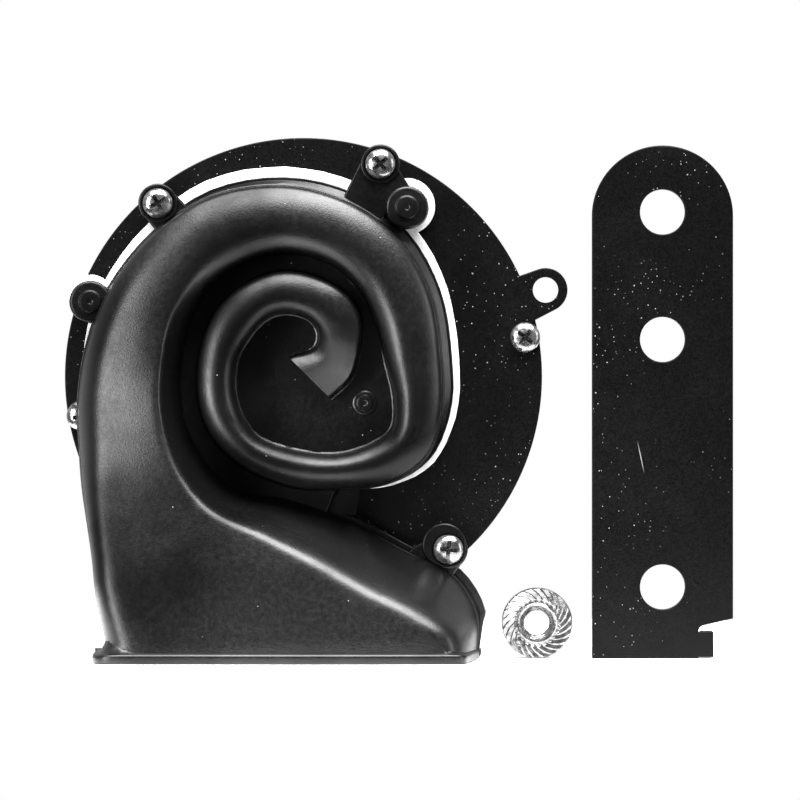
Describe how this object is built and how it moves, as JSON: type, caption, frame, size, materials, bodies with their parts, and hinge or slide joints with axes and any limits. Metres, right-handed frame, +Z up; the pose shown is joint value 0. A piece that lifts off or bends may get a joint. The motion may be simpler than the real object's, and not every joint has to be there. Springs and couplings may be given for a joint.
{
  "type": "electric snail horn",
  "caption": "Spiral-channel electric car horn on a round steel plate and driver can, with a loose flat steel bracket and a loose serrated flange nut.",
  "frame": {"origin": "axis of the mounting stud, on the flat seat of the driver can that a bracket is clamped against", "axes": "+Y out of the back of the horn along the stud, +Z up with the mouth facing down, +X to the right seen from the front"},
  "size_m": [0.1336, 0.0675, 0.1041],
  "materials": {
    "black_plastic": "satin moulded",
    "black_paint": "satin black paint",
    "zinc_plate": "bright zinc",
    "white_seal": "matt white foam",
    "grey_seal": "matt grey",
    "spring_steel": "rolled",
    "soft_steel": "turned",
    "copper_wire": "enamelled copper wire",
    "brass": "stamped",
    "phenolic": "brown phenolic board"
  },
  "bodies": {
    "horn": {"front_shell": "black_plastic", "back_shell": "black_plastic", "shell_screw_1": "zinc_plate", "shell_screw_2": "zinc_plate", "shell_screw_3": "zinc_plate", "horn_gasket": "white_seal", "front_plate": "black_paint", "rim_gasket_front": "grey_seal", "rim_gasket_rear": "grey_seal", "rim_screw_1": "zinc_plate", "rim_screw_2": "zinc_plate", "rim_screw_3": "zinc_plate", "rim_screw_4": "zinc_plate", "rim_screw_5": "zinc_plate", "rim_screw_6": "zinc_plate", "driver_can": "black_paint", "pole_core": "soft_steel", "mounting_stud": "zinc_plate", "coil_bobbin": "phenolic", "coil_winding": "copper_wire", "fixed_arm": "spring_steel", "fixed_contact": "soft_steel", "contact_insulator_front": "phenolic", "contact_insulator_middle": "phenolic", "contact_insulator_rear": "phenolic", "contact_post": "soft_steel", "contact_rivet": "zinc_plate", "suppression_resistor": "phenolic", "terminal_block": "black_plastic", "terminal_blade_plus": "brass", "terminal_blade_minus": "brass", "terminal_rivet_1": "zinc_plate", "terminal_rivet_2": "zinc_plate"},
    "armature": {"diaphragm": "spring_steel", "armature": "soft_steel", "armature_bolt": "zinc_plate", "armature_nut": "zinc_plate", "diaphragm_washer": "zinc_plate"},
    "contact": {"contact_arm": "spring_steel", "moving_contact": "soft_steel"},
    "adjuster": {"adjusting_screw": "zinc_plate"},
    "bracket": {"bracket": "black_paint"},
    "nut": {"flange_nut": "zinc_plate"}
  },
  "joints": [
    {"name": "diaphragm_stroke", "type": "slide", "parent": "horn", "child": "armature", "axis": [0, 1, 0], "range_m": [-0.0002, 0.0005], "stiffness_N_per_m": 5000},
    {"name": "contact_swing", "type": "hinge", "parent": "horn", "child": "contact", "pos_m": [0.0275, -0.01335, 0], "axis": [0, 0, -1], "range_deg": [-0.9, 2]},
    {"name": "adjuster_turn", "type": "hinge", "parent": "horn", "child": "adjuster", "pos_m": [0.023, -0.005, 0], "axis": [0, 1, 0], "range_deg": [-180, 180]},
    {"name": "bracket_lift", "type": "slide", "parent": "horn", "child": "bracket", "axis": [0, 0, 1], "range_m": [0, 0.12]},
    {"name": "nut_slide", "type": "slide", "parent": "horn", "child": "nut", "axis": [0, -1, 0], "range_m": [0, 0.08]}
  ],
  "couplings": [
    {"joint": "contact_swing", "follows": "diaphragm_stroke", "rad_per_m": 64.5}
  ]
}
